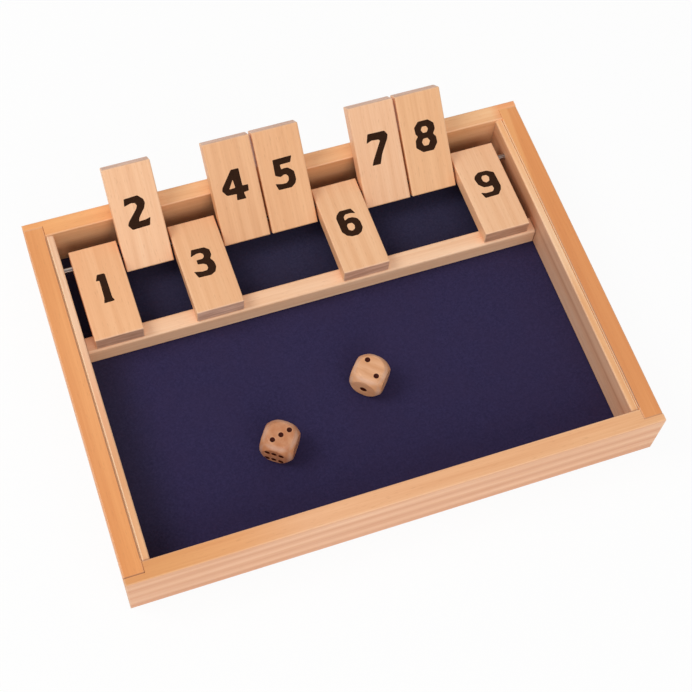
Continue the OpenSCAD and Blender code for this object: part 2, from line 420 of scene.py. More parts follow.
def pale_upper_edge(tree, at, half, colour, side):
    """Lightens the upper edge on one side (+1 or -1) of a strip."""
    outward = add_node(tree, "Math", (at[1], side), operation="MULTIPLY")
    pale_start = half[1] - PALE_START
    pale = add_node(tree, "MapRange", (outward, pale_start, half[1] - PALE_END, 0, PALE_SHARE))
    return add_node(tree, "Mix", (pale, colour, linear(PALE_TONE)), data_type="RGBA")


def seam_beside_strip(tree, at, faces, half, colour, seam, sapwood):
    """Draws the seam along a side rail: painted light on the rail's face above the strip, and a
    line of painted shade in the seam. seam is the strip's side (+1 or -1), and how dark the
    painted shade is at the front and at the back. sapwood adds the pale wedge."""
    side, front_share, back_share = seam
    to_strip = add_node(tree, "Math", (at[1], side), operation="MULTIPLY")
    high = add_node(tree, "MapRange", (at[2], half[2] - SEAM_FOOT, half[2] - SEAM_TOP))
    if sapwood:
        wedge = add_node(tree, "MapRange", (at[0], SAP_START, SAP_END, 0, SAP_WIDTH))
        reach = add_node(tree, "Math", (to_strip, wedge), operation="ADD")
        sap = add_node(tree, "MapRange", (reach, half[1], half[1] + SAP_BLUR, 0, SAP_SHARE))
        sap = add_node(tree, "Math", (sap, high), operation="MULTIPLY")
        colour = add_node(tree, "Mix", (sap, colour, linear(SAP_TONE)), data_type="RGBA")

    strip_end = half[0] - RABBET_DEPTH
    away = add_node(tree, "Math", [at[0]], operation="ABSOLUTE")
    beside = add_node(tree, "MapRange", (away, strip_end - SEAM_FADE, strip_end, 1, 0))
    beside = add_node(tree, "Math", (beside, high), operation="MULTIPLY")
    # Painted light: the rail's face above the strip is painted pale.
    facing_strip = add_node(tree, "Math", (faces[1], side), operation="MULTIPLY")
    painted_light = add_node(tree, "MapRange", (facing_strip, 0.5, 0.9, 0, PAINTED_LIGHT_SHARE))
    painted_light = add_node(tree, "Math", (painted_light, beside), operation="MULTIPLY")
    colour = add_node(tree, "Mix", (painted_light, colour, linear(PALE_TONE)), data_type="RGBA")

    # Painted shade: a fine dark line runs along the seam.
    across = add_node(tree, "MapRange", (to_strip, half[1] - SEAM_BAND, half[1]))
    line = add_node(tree, "ValToRGB", [across])
    fill_ramp(line.node.color_ramp, SEAM_LINE)
    depth = add_node(tree, "MapRange", (at[0], -half[0], half[0], front_share, back_share))
    dark_line = add_node(tree, "Math", (line, depth), operation="MULTIPLY")
    dark_line = add_node(tree, "Math", (dark_line, beside), operation="MULTIPLY")
    return add_node(tree, "Mix", (dark_line, colour, linear(JOINT_WAX_AND_SEAM_SHADE)), data_type="RGBA")


# %% [markdown]
# Now the parts come together under the lacquer. It is satin: the fibres lift it a little, so
# its roughness and its fine relief follow them. A board was cut through more than one part
# of the tree, so its tone also drifts along it, in a few stops on its top and on its sides.
# The tints on its sides are partly painted shade: cooler and darker than on its top, most of
# all at the back rail's left end and along the right strip's back part.

# %% Lacquered wood
EVEN = ((0.0, "#FFFFFF"), (1.0, "#FFFFFF"))
RELIEF_STRENGTH = 0.12
RELIEF_HEIGHT = 0.05 * MM


def wood(name, axes, half, early, late, seed, roughness=0.42, end_tone="#C9956F", joints=(0, 0),
         seam=None, sapwood=False, pale_side=0, top_tones=EVEN, side_tones_and_shade=EVEN, **sawing):
    """Lacquered wood in a board's own axes. half is the board's half sizes, top_tones and the
    side tones the tints along its upper face and its sides, the side ones partly painted
    shade, pale_side the side of a strip whose upper edge is paler, and sawing goes on to
    sawn_wood."""
    material, tree = new_material(name)
    coordinates = add_node(tree, "TexCoord").node.outputs
    board = add_node(tree, "Mapping", {"Vector": coordinates["Object"], "Location": axes.translation,
                                       "Rotation": axes.to_euler()}, vector_type="TEXTURE")
    facing = add_node(tree, "Mapping", {"Vector": coordinates["Normal"], "Rotation": axes.to_euler()},
                      vector_type="TEXTURE")
    at = add_node(tree, "SeparateXYZ", [board]).node.outputs
    faces = add_node(tree, "SeparateXYZ", [facing]).node.outputs
    colour, fibres, pores = sawn_wood(tree, board, early, late, seed, **sawing)

    along = add_node(tree, "MapRange", (at[0], -half[0], half[0]))
    # The side tints are partly painted shade, cooler and darker than the top.
    side_tint_and_shade = add_node(tree, "ValToRGB", [along])
    fill_ramp(side_tint_and_shade.node.color_ramp, side_tones_and_shade)
    top_tint = add_node(tree, "ValToRGB", [along])
    fill_ramp(top_tint.node.color_ramp, top_tones)
    upward = add_node(tree, "MapRange", (faces[2], 0.35, 0.85))
    tint = add_node(tree, "Mix", (upward, side_tint_and_shade, top_tint), data_type="RGBA")
    colour = add_node(tree, "Mix", (1.0, colour, tint), data_type="RGBA", blend_type="MULTIPLY")

    colour = sawn_ends(tree, board, faces[0], colour, seed, end_tone)
    colour = worn_and_highlit_edges(tree, at, half, colour)
    colour = glued_ends(tree, at, half, colour, joints)
    if pale_side:
        colour = pale_upper_edge(tree, at, half, colour, pale_side)
    if seam:
        colour = seam_beside_strip(tree, at, faces, half, colour, seam, sapwood)

    gloss = add_node(tree, "MapRange", (fibres, *NOISE_RANGE, roughness + 0.06, roughness - 0.04))
    relief = add_node(tree, "Math", (fibres, pores), operation="SUBTRACT")
    bump = add_node(tree, "Bump", {"Height": relief, "Strength": RELIEF_STRENGTH,
                                   "Distance": RELIEF_HEIGHT})
    shader = add_node(tree, "BsdfPrincipled", {"Base Color": colour, "Roughness": gloss,
                                               "Normal": bump})
    add_node(tree, "OutputMaterial", {"Surface": shader})
    return material


# %% [markdown]
# Each board is a line of its own: which way its grain runs, the two tones of its rings, and
# where in the tree it was sawn. The front rail was sawn flat, so its rings show as broad
# bands, and the right strip has a few crisp ones. The base panel is plywood, and duller.

# %% Boards
def dress(node_name, material):
    """Gives a node of the frame its material."""
    slots = nodes[node_name].data.materials
    if len(slots) == 0:
        slots.append(material)
    nodes[node_name].material_slots[0].material = material


boards = {
    "front_rail": ("X", "#FFCCA2", "#EFAF82", dict(
        seed=1.3, ring_width=10.5 * MM, pith=(20 * MM, 144.7 * MM), ring_share=1.0, wobble=1.2,
        top_tones=((0.03, "#F0DDAE"), (0.08, "#F4E5B8"), (0.20, "#FBF0D0"), (0.32, "#FFFFF8"),
                   (1.0, "#FFFEEE")),
        side_tones_and_shade=((0.0, "#F3E9E1"), (0.5, "#F4EAE2"), (1.0, "#F1E6DA")))),
    "back_rail": ("X", "#FEC28E", "#EBA46F", dict(
        seed=2.1, ring_width=12 * MM, pith=(90 * MM, 60 * MM), ring_share=0.3, wobble=2.0,
        top_tones=((0.02, "#F8DEB6"), (0.06, "#FAE7C4"), (0.18, "#FCEACF"), (0.26, "#FFFFFA"),
                   (0.945, "#FFFFFA"), (0.965, "#FADAC0")),
        side_tones_and_shade=((0.06, "#EDF0F0"), (0.14, "#F8F8F6"), (0.30, "#F0EBE6"), (0.60, "#F1E9E0"),
                    (0.88, "#F0EDE6"), (0.93, "#FFFFFF")))),
    "left_rail": ("Y", "#F2A462", "#E59350", dict(
        seed=3.7, ring_width=16 * MM, pith=(60 * MM, 60 * MM), joints=(0.8, 0.05),
        seam=(-1, 0.65, 0.65),
        top_tones=((0.1, "#FBF4E4"), (0.35, "#FDF9F3"), (0.6, "#FFFFFF"), (0.85, "#FDFCF7")))),
    "right_rail": ("Y", "#EA9856", "#DA8646", dict(
        seed=4.9, ring_width=16 * MM, pith=(75 * MM, 40 * MM), joints=(0.4, 0),
        seam=(1, 0.8, 0.0), sapwood=True,
        top_tones=((0.4, "#FFFFFF"), (0.6, "#FFFCF6"), (0.93, "#FFF9EE"), (0.99, "#FFFFFF")))),
    "left_strip": ("Y", "#F8C7A0", "#E6AC80", dict(
        seed=5.2, ring_width=8 * MM, pith=(40 * MM, 60 * MM), ring_share=0.3, joints=(0.6, 0.3),
        pale_side=1,
        top_tones=((0.03, "#F8E7CB"), (0.13, "#F6E4C9"), (0.26, "#F2DEC2"), (0.45, "#FAE6D8"),
                   (0.7, "#FFFFFF")))),
    "right_strip": ("Y", "#FFCFA2", "#E6A87C", dict(
        seed=6.4, ring_width=15.8 * MM, pith=(12 * MM, 121 * MM), ring_share=0.9, wobble=1.0,
        rings_seen=CRISP_RINGS, joints=(0.5, 0.1), pale_side=-1,
        top_tones=((0.03, "#F3DFC6"), (0.36, "#F3DFC6"), (0.5, "#FFFFFF"), (0.62, "#FFFFFF"),
                   (0.95, "#FFEAD0")),
        side_tones_and_shade=((0.1, "#F0E8ED"), (0.62, "#EBE4EB"), (0.72, "#D2C4BD"), (0.9, "#DED0C8")))),
    "cross_rail": ("X", "#FECEA6", "#F3BD92", dict(
        seed=7.7, ring_width=8 * MM, pith=(50 * MM, 50 * MM), joints=(0.8, 0.8))),
    "base_panel": ("X", "#E4C49C", "#D2AC80", dict(
        seed=8.8, ring_width=20 * MM, pith=(80 * MM, 80 * MM), roughness=0.6)),
}
for node_name, (grain, early, late, options) in boards.items():
    centre, half = middle_and_half(node_name)
    if grain == "Y":
        half = Vector((half.y, half.x, half.z))
    axes = board_axes(centre, grain)
    dress(node_name, wood(f"lacquered_{node_name}", axes, half, early, late, **options))
print("boards dressed:", len(boards))

# %% [markdown]
# The tiles are cut from thin strips of the same wood, so their grain runs along them and is
# calm. Each has its own axes because it is turned on the rod, and its own place in the
# tree, so no two look alike. Their sawn ends are paler and a little pink.

# %% Tiles
TILE_TONES = {1: ("#F9BC89", "#F0B07C"), 2: ("#FDC697", "#EFB383"), 3: ("#F6BC8B", "#E9AB78"),
              4: ("#F2B580", "#E1A06B"), 5: ("#F5B882", "#E9A872"), 6: ("#F4BB8B", "#ECB07F"),
              7: ("#F9C295", "#F1B687"), 8: ("#F8BE89", "#E8AA75"), 9: ("#FAC395", "#F1B485")}
HIDDEN_END = "#E0B29A"
END_TONES = {1: "#CFA590", 3: "#F4CAB6", 6: "#F1BEA5", 9: "#DDAA8C"}
for number in TILE_NUMBERS:
    axes = tile_axes(number)
    grain_axes = axes @ Matrix.Rotation(math.pi / 2, 4, "Z")
    grain_axes.translation = axes @ Vector((0, (TILE_FREE_END + TILE_HINGE_END) / 2, 0))
    half = Vector((TILE_LENGTH / 2, TILE_HALF_WIDTH, TILE_HALF_THICKNESS))
    early, late = TILE_TONES[number]
    tile_wood = wood(f"lacquered_tile_{number}", grain_axes, half, early, late, seed=10 + 1.7 * number,
                     ring_width=6 * MM, pith=((34 + 7 * number) * MM, (26 + 5 * number) * MM),
                     ring_share=0.35, wobble=4.0, figure=0.8, pore_share=0.22,
                     end_tone=END_TONES.get(number, HIDDEN_END))
    dress(f"tile_{number}", tile_wood)
print("tiles dressed:", len(TILE_TONES))

# %% [markdown]
# The numbers are printed in a matt brown black on both faces of every tile, so that one reads
# right whether the tile lies or stands. Their shapes are plain block figures as cut with a
# blade: straight strokes and blunt corners. A drawn outline is simplest as a flat curve
# with its holes, which fills itself and becomes a thin plate of ink. The plate sinks half
# its thickness into the wood, so its faces never fight with the wood's face.

# %% Number outlines, in millimetres from the middle of the number
NUMBER_LINES = {
    1: [[(-3.5, 5.0), (-2.1, 8.7), (1.4, 8.6), (2.0, 8.0), (2.1, -6.4), (2.9, -8.2), (2.6, -8.6),
         (-2.7, -8.8), (-1.9, -5.8), (-1.7, 4.9)]],
    2: [[(-5.6, 3.2), (-5.0, 7.1), (2.3, 7.5), (4.9, 4.9), (5.3, 2.8), (4.3, 0.2), (0.9, -3.9),
         (0.0, -6.1), (3.8, -5.9), (6.3, -5.2), (5.1, -9.4), (-4.2, -9.7), (-6.0, -7.0),
         (-5.2, -5.2), (0.2, 0.8), (0.9, 2.4), (0.1, 3.9), (-1.9, 4.2)]],
    3: [[(-5.3, 4.4), (-4.0, 8.5), (2.9, 8.3), (5.2, 6.3), (5.3, 3.0), (4.1, 0.9), (5.5, -1.6),
         (5.7, -4.6), (4.5, -7.4), (1.9, -8.8), (-4.8, -8.6), (-6.2, -4.6), (-2.0, -5.6),
         (0.6, -5.4), (1.5, -4.2), (1.2, -2.1), (-0.2, -1.2), (-3.1, -0.8), (-3.0, 1.8), (0.2, 1.8),
         (1.4, 3.0), (1.2, 4.6), (0.0, 5.6), (-2.0, 5.6)]],
    4: [[(-0.4, 8.6), (4.0, 8.6), (4.1, -1.3), (7.3, -1.4), (7.0, -4.9), (4.1, -5.2), (4.8, -8.8),
         (-0.5, -8.7), (0.0, -5.2), (-5.3, -5.0), (-7.5, -2.0), (-7.1, -0.3)],
        [(-0.5, 3.1), (0.0, -1.6), (-3.5, -1.8)]],
    5: [[(-4.4, 7.7), (6.1, 7.9), (4.8, 4.5), (-1.0, 4.4), (-0.7, 1.8), (0.8, 2.2), (2.9, 2.0),
         (5.8, -0.5), (6.1, -4.9), (5.3, -7.0), (2.9, -8.8), (-4.2, -8.7), (-5.4, -5.1),
         (-1.7, -5.9), (0.7, -5.9), (2.1, -4.6), (2.3, -2.7), (1.3, -1.3), (0.1, -1.2),
         (-1.9, -2.1), (-4.6, -0.8)]],
    6: [[(-2.5, 8.6), (4.0, 8.6), (5.6, 5.0), (2.9, 5.8), (-0.2, 5.7), (-1.5, 4.1), (-1.5, 2.0),
         (0.5, 3.0), (3.1, 3.0), (5.4, 1.6), (6.4, -0.6), (6.4, -4.9), (5.0, -7.3), (2.5, -8.8),
         (-1.1, -8.7), (-3.6, -7.5), (-5.5, -4.7), (-5.7, 4.5), (-4.8, 6.5)],
        [(-0.7, -0.3), (1.8, -0.5), (2.6, -2.2), (2.1, -4.4), (0.3, -5.4), (-1.4, -4.3),
         (-1.6, -1.8)]],
    7: [[(-6.0, 3.7), (-4.7, 8.6), (4.8, 8.4), (6.3, 6.0), (5.7, 3.9), (1.4, -3.6), (-0.4, -8.8),
         (-5.1, -8.7), (-3.9, -5.9), (1.5, 3.7), (0.9, 4.4), (-3.1, 4.8)]],
    8: [[(-2.8, 8.6), (2.9, 8.6), (5.8, 6.2), (6.1, 2.8), (4.6, 0.3), (6.0, -1.5), (6.1, -5.0),
         (3.5, -8.6), (-2.6, -8.5), (-6.2, -5.4), (-5.8, -1.3), (-4.2, 0.5), (-5.3, 2.1),
         (-5.5, 5.7)],
        [(-1.0, 5.4), (1.3, 5.3), (2.2, 3.7), (1.3, 1.9), (-1.0, 1.9), (-2.0, 3.7)],
        [(-1.5, -1.3), (1.0, -1.2), (2.2, -3.1), (1.0, -5.2), (-1.5, -5.2), (-2.5, -3.1)]],
    9: [[(-2.3, 9.6), (2.7, 9.5), (6.1, 7.5), (6.5, -1.8), (5.7, -4.0), (3.4, -6.8), (-4.3, -7.0),
         (-5.5, -3.1), (-3.0, -4.1), (1.1, -4.0), (2.3, -2.5), (2.1, -0.4), (-0.2, -0.6),
         (-2.7, -0.2), (-5.0, 2.1), (-5.7, 6.0), (-4.8, 7.8)],
        [(-0.9, 6.9), (1.4, 6.9), (2.5, 5.3), (1.8, 3.0), (-0.2, 2.2), (-1.6, 3.5), (-1.8, 5.7)]],
}
print("numbers drawn:", len(NUMBER_LINES))

# %% [markdown]
# Ink creeps a little, so every corner is blunted before it becomes a line: each corner
# gives way to a short arc. By hand it would be a bevel of the curve's corners, and the arc
# gives the same shape in a few lines.

# %% Ink plates
INK_THICKNESS = 0.08 * MM
CORNER_BLUNT = 0.5
LONGEST_BLUNT = 0.45  # of a stroke's length, so that two arcs never meet
ARC_STEPS = 4
WELD_REACH = 0.005 * MM
SHOWN_SIZE = {1: 1.035, 2: 1.03, 3: 1.04, 4: 0.99, 5: 1.035, 6: 1.005, 7: 1.03, 8: 1.02, 9: 1.04}


def blunted(points):
    """The same closed line with a short arc in place of each corner."""
    line = []
    for before, corner, after in zip(points[-1:] + points[:-1], points, points[1:] + points[:1]):
        corner = Vector(corner)
        arms = [Vector(end) - corner for end in (before, after)]
        start, end = [corner + arm * min(CORNER_BLUNT / arm.length, LONGEST_BLUNT) for arm in arms]
        for step in range(ARC_STEPS + 1):
            t = step / ARC_STEPS
            line.append(start * (1 - t) ** 2 + corner * 2 * t * (1 - t) + end * t ** 2)
    return line


def ink_plate(number, place):
    """A thin plate in the shape of a number, laid at its place."""
    curve = bpy.data.curves.new("ink", "CURVE")
    curve.dimensions = "2D"
    curve.fill_mode = "BOTH"
    curve.extrude = INK_THICKNESS / 2
    for loop in NUMBER_LINES[number]:
        line = blunted(loop)
        spline = curve.splines.new("POLY")
        spline.points.add(len(line) - 1)
        for point, (x, y) in zip(spline.points, line):
            point.co = (x * SHOWN_SIZE[number] * MM, y * SHOWN_SIZE[number] * MM, 0, 1)
        spline.use_cyclic_u = True
    plate = bpy.data.objects.new("ink", curve)
    bpy.context.scene.collection.objects.link(plate)
    deselect_all()
    plate.select_set(True)
    bpy.context.view_layer.objects.active = plate
    bpy.ops.object.convert(target="MESH")
    plate = bpy.context.object
    plate.data.transform(place)
    bpy.ops.object.mode_set(mode="EDIT")
    bpy.ops.mesh.select_all(action="SELECT")
    bpy.ops.mesh.remove_doubles(threshold=WELD_REACH)
    bpy.ops.mesh.normals_make_consistent(inside=False)
    bpy.ops.object.mode_set(mode="OBJECT")
    return plate


# %% [markdown]
# Printing ink dries matt. It soaks in unevenly, so the wood shows through a little in a fine
# cloud. Both plates of a tile are joined into one piece, which rides on the tile. Each number
# sits where it was stamped, a little to one side on some tiles.

# %% Ink and its places
INK_SOAK = 0.9 * MM
# the numbers' middles, from the rod: on the face that shows when a tile lies, on the other
# face, and how far they sit to one side
SHOWN_LYING = -19.05 * MM
SHOWN_STANDING = -23.65 * MM
SHOWN_ASIDE_MM = {1: 0.1, 2: -0.3, 3: -0.85, 4: -0.4, 5: -0.25, 6: -0.25, 7: 0.1, 8: 0.3, 9: 0.15}

ink, tree = new_material("matt_black_ink")
place = add_node(tree, "TexCoord", out="Object")
soaked = add_node(tree, "TexNoise", {"Vector": place, "Scale": 1 / INK_SOAK, "Detail": 4.0}, out="Fac")
thin_ink = add_node(tree, "MapRange", (soaked, 0.35, 0.7))
ink_colour = add_node(tree, "Mix", (thin_ink, linear("#2C170A"), linear("#361F10")), data_type="RGBA")
ink_bump = add_node(tree, "Bump", {"Height": soaked, "Strength": 0.3, "Distance": 0.04 * MM})
shader = add_node(tree, "BsdfPrincipled", {"Base Color": ink_colour, "Roughness": 0.8,
                                           "Specular IOR Level": 0.12, "Normal": ink_bump})
add_node(tree, "OutputMaterial", {"Surface": shader})

for number in TILE_NUMBERS:
    axes = tile_axes(number)
    aside = SHOWN_ASIDE_MM[number] * MM
    over = Matrix.Translation((aside, SHOWN_LYING, TILE_HALF_THICKNESS))
    under = Matrix.Translation((aside, SHOWN_STANDING, -TILE_HALF_THICKNESS))
    under = under @ Matrix.Rotation(math.pi, 4, "X")
    plates = [ink_plate(number, axes @ over), ink_plate(number, axes @ under)]
    for plate in plates:
        plate.select_set(True)
    bpy.ops.object.join()
    printed = bpy.context.object
    printed.name = f"number_{number}"
    printed.data.materials.clear()
    printed.data.materials.append(ink)
    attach(printed, f"tile_{number}_body")
print("ink plates:", len(NUMBER_LINES), "pairs")

# %% [markdown]
# The felt is a pressed wool sheet of 1.5 mm, cut to the inside of the case and glued down
# flat under the strips and the cross rail. It starts as a grid, gets its thickness from
# Solidify, and a faint displacement presses it down here and there. It never rises, so the
# boards and the dice that stand on it stay clear.

# %% Felt sheet
FELT_GRID = 2.0 * MM
FELT_DIPS = 0.10 * MM
FELT_DIP_SIZE = 9 * MM
felt_middle, felt_half = middle_and_half("felt")
deselect_all()
bpy.ops.mesh.primitive_grid_add(x_subdivisions=round(2 * felt_half.x / FELT_GRID),
                                y_subdivisions=round(2 * felt_half.y / FELT_GRID), size=2)
felt_sheet = bpy.context.object
felt_sheet.name = "felt_sheet"
felt_sheet.data.transform(Matrix.Translation(felt_middle + Vector((0, 0, felt_half.z)))
                          @ Matrix.Diagonal((felt_half.x, felt_half.y, 1, 1)))
dips = bpy.data.textures.new("felt_dips", "CLOUDS")
dips.noise_scale = FELT_DIP_SIZE
press = felt_sheet.modifiers.new("press", "DISPLACE")
press.texture = dips
press.strength = FELT_DIPS
press.mid_level = 1.0
thicken = felt_sheet.modifiers.new("thicken", "SOLIDIFY")
thicken.thickness = 2 * felt_half.z - FELT_DIPS
thicken.offset = -1
for name in ("press", "thicken"):
    bpy.ops.object.modifier_apply(modifier=name)
bpy.ops.object.shade_smooth_by_angle(angle=math.radians(40))
print("felt faces:", len(felt_sheet.data.polygons))

# %% [markdown]
# Pressed wool felt is matt, with short fibres that lie in every direction and catch a little
# light. So its lint is a fine noise that a wider swirl pushes about, over large, faint
# patches. Real wool fibres are far too fine to show, so the lint is drawn as tufts of a
# millimetre. At the left edge and under the tiles, where the strip and the tiles shade it,
# the violet is painted duller and greener as painted shade.

# %% Felt wool
LINT_WIDTH = 1.1 * MM
SWIRL_WIDTH = 6 * MM
SWIRL_PUSH = 4 * MM
PATCH_WIDTH = 16 * MM
FELT_SHADE_WIDTH = 30 * MM
FELT_SHADE_TINT = (0.98, 1.14, 0.86, 1)
felt_wool, tree = new_material("pressed_wool_felt")
place = add_node(tree, "TexCoord", out="Object")
swirl = add_node(tree, "TexNoise", {"Vector": place, "Scale": 1 / SWIRL_WIDTH, "Detail": 2.0},
                 out="Color")
push = add_node(tree, "VectorMath", (swirl, (SWIRL_PUSH, SWIRL_PUSH, 0)), operation="MULTIPLY")
swirled = add_node(tree, "VectorMath", (place, push), operation="ADD")
lint = add_node(tree, "TexNoise", {"Vector": swirled, "Scale": 1 / LINT_WIDTH, "Detail": 4.0,
                                   "Roughness": 0.65}, out="Fac")
patches = add_node(tree, "TexNoise", {"Vector": place, "Scale": 1 / PATCH_WIDTH, "Detail": 3.0},
                   out="Fac")
lint_share = add_node(tree, "MapRange", (lint, *NOISE_RANGE))
patch_share = add_node(tree, "MapRange", (patches, 0.4, 0.65, 0, 0.35))
felt_colour = add_node(tree, "Mix", (lint_share, linear("#292344"), linear("#362F54")),
                       data_type="RGBA")
felt_colour = add_node(tree, "Mix", (patch_share, felt_colour, linear("#332949")), data_type="RGBA")

felt_at = add_node(tree, "SeparateXYZ", [place]).node.outputs
cross_middle, cross_half = middle_and_half("cross_rail")
bay_start = cross_middle.y
bay_full = cross_middle.y + 2 * cross_half.y
# Painted shade: the felt is tinted duller and greener along the left strip and under the tiles.
felt_shade_left = add_node(tree, "MapRange", (felt_at[0], -felt_half.x, FELT_SHADE_WIDTH - felt_half.x, 1, 0))
felt_shade_back = add_node(tree, "MapRange", (felt_at[1], bay_start, bay_full))
felt_painted_shade = add_node(tree, "Math", (felt_shade_left, felt_shade_back), operation="MAXIMUM")
felt_shaded_colour = add_node(tree, "Mix", (1.0, felt_colour, FELT_SHADE_TINT), data_type="RGBA",
                       blend_type="MULTIPLY")
felt_colour = add_node(tree, "Mix", (felt_painted_shade, felt_colour, felt_shaded_colour), data_type="RGBA")
felt_bump = add_node(tree, "Bump", {"Height": lint, "Strength": 0.6, "Distance": 0.25 * MM})
shader = add_node(tree, "BsdfPrincipled", {"Base Color": felt_colour, "Roughness": 1.0,
                                           "Specular IOR Level": 0.1, "Sheen Weight": 0.05,
                                           "Sheen Roughness": 0.6, "Normal": felt_bump})
add_node(tree, "OutputMaterial", {"Surface": shader})
felt_sheet.data.materials.append(felt_wool)
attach(felt_sheet, "case")
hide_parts("felt")
print(f"felt: {2 * felt_half.x / MM:.1f} x {2 * felt_half.y / MM:.1f} mm")

# %% [markdown]
# The dice are cubes whose edges were rounded and whose corners a ball shape cuts off, and
# after the pips are drilled they are tumbled smooth. So a cube is bevelled, cut with a ball
# and with the pips' balls, and then remeshed and smoothed, which softens every rim as
# tumbling does. The holes are drilled by hand, so some sit a little off, and the single pip
# is the widest. The die is made once, in its own axes.

# %% Dice
DIE_EDGE_ROUND = 3 * MM
DIE_FLAT = 13.8 * MM
PIP_WIDTHS_MM = {1: 4.1, 2: 3.1, 3: 2.9, 4: 2.9, 5: 2.9, 6: 3.1}
PIP_DEPTH = 0.8 * MM
PIP_STEP = 3.6 * MM
DIE_GRID = 0.22 * MM
# where each face's pips sit, in pip steps from its middle
PIP_PLACES = {1: [(0, 0.1)], 2: [(0.95, -1), (-1.2, 0.9)], 3: [(-0.8, -1.1), (0.1, 0), (1, 1.1)],
              4: [(-1, -1), (-1, 1), (1, -1), (1, 1)], 5: [(-1, -1), (-1, 1), (0, 0), (1, -1), (1, 1)],
              6: [(-1.15, -0.95), (-1.1, 0.1), (-1.15, 1.1), (0.7, -0.95), (0.75, 0.1), (0.7, 1.1)]}
# how the upper face is turned to become each face, in degrees
FACE_TURNS = {1: (0, 0, 0), 2: (90, 0, 0), 3: (90, 0, 90), 4: (90, 0, -90), 5: (90, 0, 180),
              6: (180, 0, 0)}


def turned(degrees):
    """A turn about X, then Y, then Z."""
    return Euler([math.radians(angle) for angle in degrees], "XYZ").to_matrix().to_4x4()


def cut_with(piece, cutter, operation):
    """Cuts a piece with another one, which is used up."""
    cut = piece.modifiers.new("cut", "BOOLEAN")
    cut.object = cutter
    cut.operation = operation
    cut.solver = "EXACT"
    bpy.context.view_layer.objects.active = piece
    bpy.ops.object.modifier_apply(modifier="cut")
    bpy.data.objects.remove(cutter)


DIE_HALF = middle_and_half("die_left")[1].z
DIE_BALL = math.hypot(DIE_HALF, DIE_FLAT / 2)
deselect_all()
bpy.ops.mesh.primitive_cube_add(size=2 * DIE_HALF)
die = bpy.context.object
bpy.ops.object.mode_set(mode="EDIT")
bpy.ops.mesh.select_all(action="SELECT")
bpy.ops.mesh.bevel(offset=DIE_EDGE_ROUND, segments=6, affect="EDGES")
bpy.ops.object.mode_set(mode="OBJECT")
bpy.ops.mesh.primitive_uv_sphere_add(segments=64, ring_count=32, radius=DIE_BALL)
cut_with(die, bpy.context.object, "INTERSECT")
for face, spots in PIP_PLACES.items():
    pip_ball = ((PIP_WIDTHS_MM[face] * MM) ** 2 / 4 + PIP_DEPTH ** 2) / (2 * PIP_DEPTH)
    pip_height = DIE_HALF + pip_ball - PIP_DEPTH
    for across, up in spots:
        spot = turned(FACE_TURNS[face]) @ Vector((across * PIP_STEP, up * PIP_STEP, pip_height))
        bpy.ops.mesh.primitive_uv_sphere_add(segments=24, ring_count=16, radius=pip_ball, location=spot)
        cut_with(die, bpy.context.object, "DIFFERENCE")
tumble = die.modifiers.new("remesh", "REMESH")
tumble.mode = "VOXEL"
tumble.voxel_size = DIE_GRID
tumble.use_smooth_shade = True
soften = die.modifiers.new("soften", "SMOOTH")
soften.factor = 0.5
soften.iterations = 3
for name in ("remesh", "soften"):
    bpy.ops.object.modifier_apply(modifier=name)
print("die faces:", len(die.data.polygons))

# %% [markdown]
# Tumbled, waxed wood, a little redder than the boards and mottled, with a soft shine, and
# painted paler towards its edges as a painted highlight on the rounding. The pips are
# painted a deep brown that hardly mirrors. The paint sits wherever the surface lies below a
# flat face near its middle, so its rim follows the drilled dimple exactly.

# %% Dice wood
DIE_RING = 4.2 * MM
DIE_RING_SHARE = 0.5
DIE_PITH = (20 * MM, 16 * MM)
DIE_FIBRE = 0.9 * MM
DIE_FIBRE_SHARE = 0.3
DIE_STRETCH = 0.12
MOTTLE_WIDTH = 5 * MM
MOTTLE_STRETCH = 0.35
EDGE_HIGHLIGHT_START = 6.2 * MM
EDGE_HIGHLIGHT_FULL = 8.2 * MM
EDGE_HIGHLIGHT_SHARE = 0.4
EDGE_HIGHLIGHT_TONE = "#E6CCBC"


